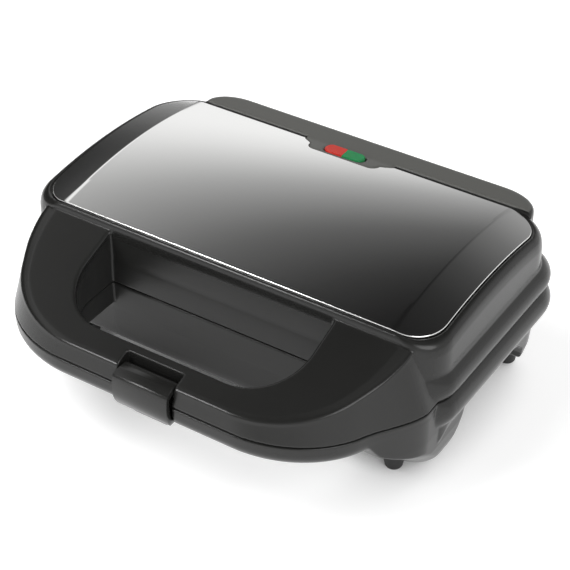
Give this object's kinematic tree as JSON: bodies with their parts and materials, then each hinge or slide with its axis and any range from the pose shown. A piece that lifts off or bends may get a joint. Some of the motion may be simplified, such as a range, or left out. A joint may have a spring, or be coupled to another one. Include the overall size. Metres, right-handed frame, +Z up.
{
  "type": "sandwich toaster",
  "caption": "Countertop sandwich toaster: a hinged lid over a base with pocketed cooking plates, a carrying handle split between lid and base, and a swinging latch.",
  "frame": {"origin": "centre of the bounding box in plan, on the table plane below the feet", "axes": "+X to the right seen from the handle side, +Y to the hinge at the rear, +Z up"},
  "size_m": [0.2746, 0.225, 0.1066],
  "materials": {
    "housing": "satin black",
    "plate_steel": "polished",
    "non_stick": "dark non-stick coating",
    "element": "dull",
    "reflector": "satin",
    "screw": "satin",
    "foot": "matt",
    "red": "clear",
    "green": "clear",
    "holder": "matt",
    "lamp": "clear",
    "bakelite": "matt",
    "block": "matt"
  },
  "bodies": {
    "base": {"lower_housing": "housing", "lower_cooking_plate": "non_stick", "lower_heating_element": "element", "lower_reflector": "reflector", "lower_plate_screws": "screw", "front_feet": "foot", "rear_feet": "foot", "hinge_pins": "screw", "thermostat": "bakelite", "thermal_fuse": "screw", "terminal_block": "block", "terminal_screws": "screw", "cord_gland": "foot"},
    "lid": {"upper_housing": "housing", "top_plate": "plate_steel", "upper_cooking_plate": "non_stick", "upper_heating_element": "element", "upper_reflector": "reflector", "upper_plate_screws": "screw", "latch_pin": "screw", "red_lens": "red", "green_lens": "green", "lamp_holder": "holder", "lamp_holder_screws": "screw", "indicator_lamps": "lamp"},
    "latch": {"latch": "housing"}
  },
  "joints": [
    {"name": "lid_hinge", "type": "hinge", "parent": "base", "child": "lid", "pos_m": [0, 0.10335, 0.0565], "axis": [-1, 0, 0], "range_deg": [0, 100]},
    {"name": "latch_pivot", "type": "hinge", "parent": "lid", "child": "latch", "pos_m": [0, -0.10155, 0.0665], "axis": [-1, 0, 0], "range_deg": [0, 50]}
  ]
}
